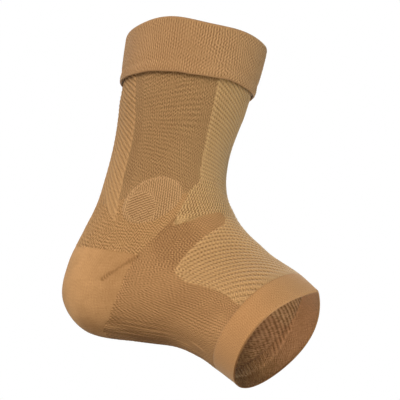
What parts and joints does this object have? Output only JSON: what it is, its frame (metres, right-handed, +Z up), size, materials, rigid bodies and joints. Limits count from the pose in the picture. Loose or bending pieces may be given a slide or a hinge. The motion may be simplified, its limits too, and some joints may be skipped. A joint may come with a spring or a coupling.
{
  "type": "ankle sleeve",
  "caption": "Knitted elastic sleeve that grips the ankle and midfoot, open at leg and toes, with a turned cuff, a heel pocket and a smooth toe band.",
  "frame": {"origin": "heel seat: the middle of the heel pocket's inner floor, where the wearer's heel sits", "axes": "+Z up the leg, +X towards the toes, +Y to the wearer's left"},
  "size_m": [0.1636, 0.0884, 0.2117],
  "materials": {
    "cuff_knit": "matt fine vertical rib",
    "body_knit": "matt patterned knit",
    "heel_knit": "matt smooth plain knit",
    "toe_knit": "matt smooth plain knit"
  },
  "bodies": {
    "root": {"cuff": "cuff_knit", "knit_body": "body_knit", "heel_pocket": "heel_knit", "toe_band": "toe_knit"}
  },
  "joints": []
}
